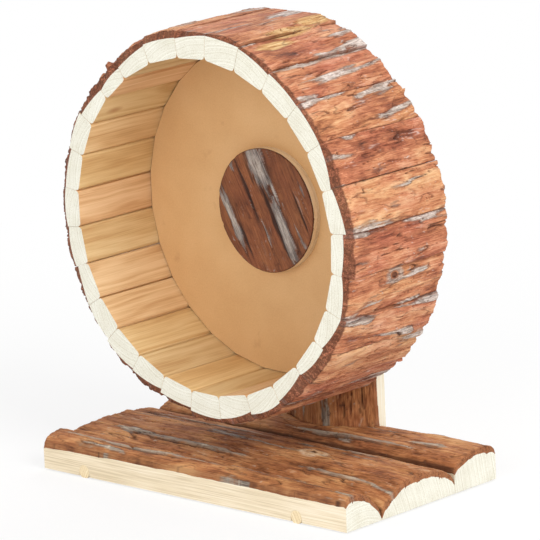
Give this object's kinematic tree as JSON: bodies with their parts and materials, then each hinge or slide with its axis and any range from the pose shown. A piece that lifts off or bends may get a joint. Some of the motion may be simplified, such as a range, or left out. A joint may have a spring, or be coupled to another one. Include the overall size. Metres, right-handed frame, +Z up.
{
  "type": "rodent exercise wheel",
  "caption": "Free-standing rodent running wheel: a drum of bark-covered wooden staves with a closed back, spinning on an axle in the post of a half-log stand.",
  "frame": {"origin": "centre of the whole object's footprint, on the floor under the cross dowels", "axes": "+Z up, the drum's open side faces -Y, +X to the right seen from the open side; the axle runs along Y"},
  "size_m": [0.296, 0.1746, 0.336],
  "materials": {
    "stave_wood": "planed pine inside, pale end grain, rough bark outside",
    "log_wood": "rough brown bark, pale sawn faces",
    "dowel_wood": "planed, matt",
    "panel_board": "smooth matt board",
    "hub_bark": "rough bark face, pale sawn edge",
    "block_wood": "turned, sanded",
    "bearing_steel": "ground",
    "shield_steel": "pressed, satin",
    "cage_plastic": "moulded, matt",
    "zinc_steel": "zinc plated"
  },
  "bodies": {
    "stand": {"front_log": "log_wood", "middle_log": "log_wood", "rear_log": "log_wood", "dowel_left": "dowel_wood", "dowel_right": "dowel_wood", "post": "log_wood", "post_screws": "zinc_steel", "front_bearing_outer_race": "bearing_steel", "front_bearing_shields": "shield_steel", "rear_bearing_outer_race": "bearing_steel", "rear_bearing_shields": "shield_steel"},
    "drum": {"axle_bolt": "zinc_steel", "axle_sleeve": "zinc_steel", "back_panel": "panel_board", "bearing_spacer": "zinc_steel", "front_bearing_inner_race": "bearing_steel", "hub_block": "block_wood", "hub_disc": "hub_bark", "hub_screws": "zinc_steel", "lock_nut": "zinc_steel", "rear_bearing_inner_race": "bearing_steel", "shim_washer": "zinc_steel", "stave_01": "stave_wood", "stave_02": "stave_wood", "stave_03": "stave_wood", "stave_04": "stave_wood", "stave_05": "stave_wood", "stave_06": "stave_wood", "stave_07": "stave_wood", "stave_08": "stave_wood", "stave_09": "stave_wood", "stave_10": "stave_wood", "stave_11": "stave_wood", "stave_12": "stave_wood", "stave_13": "stave_wood", "stave_14": "stave_wood", "stave_15": "stave_wood", "stave_16": "stave_wood", "stave_17": "stave_wood", "stave_18": "stave_wood", "stave_19": "stave_wood", "stave_20": "stave_wood", "stave_21": "stave_wood", "stave_22": "stave_wood", "stave_23": "stave_wood", "stave_24": "stave_wood", "stave_25": "stave_wood", "stave_26": "stave_wood", "stave_27": "stave_wood", "stave_28": "stave_wood", "stave_brads": "zinc_steel"},
    "front_ball_set": {"front_bearing_cage": "cage_plastic", "front_bearing_balls": "bearing_steel"},
    "rear_ball_set": {"rear_bearing_cage": "cage_plastic", "rear_bearing_balls": "bearing_steel"}
  },
  "joints": [
    {"name": "wheel_spin", "type": "hinge", "parent": "stand", "child": "drum", "pos_m": [0, -0.06275, 0.195], "axis": [0, 1, 0], "continuous": true},
    {"name": "front_ball_set_turn", "type": "hinge", "parent": "stand", "child": "front_ball_set", "pos_m": [0, 0.05375, 0.195], "axis": [0, 1, 0], "continuous": true},
    {"name": "rear_ball_set_turn", "type": "hinge", "parent": "stand", "child": "rear_ball_set", "pos_m": [0, 0.07225, 0.195], "axis": [0, 1, 0], "continuous": true}
  ],
  "couplings": [
    {"joint": "front_ball_set_turn", "follows": "wheel_spin", "ratio": 0.3677},
    {"joint": "rear_ball_set_turn", "follows": "wheel_spin", "ratio": 0.3677}
  ]
}
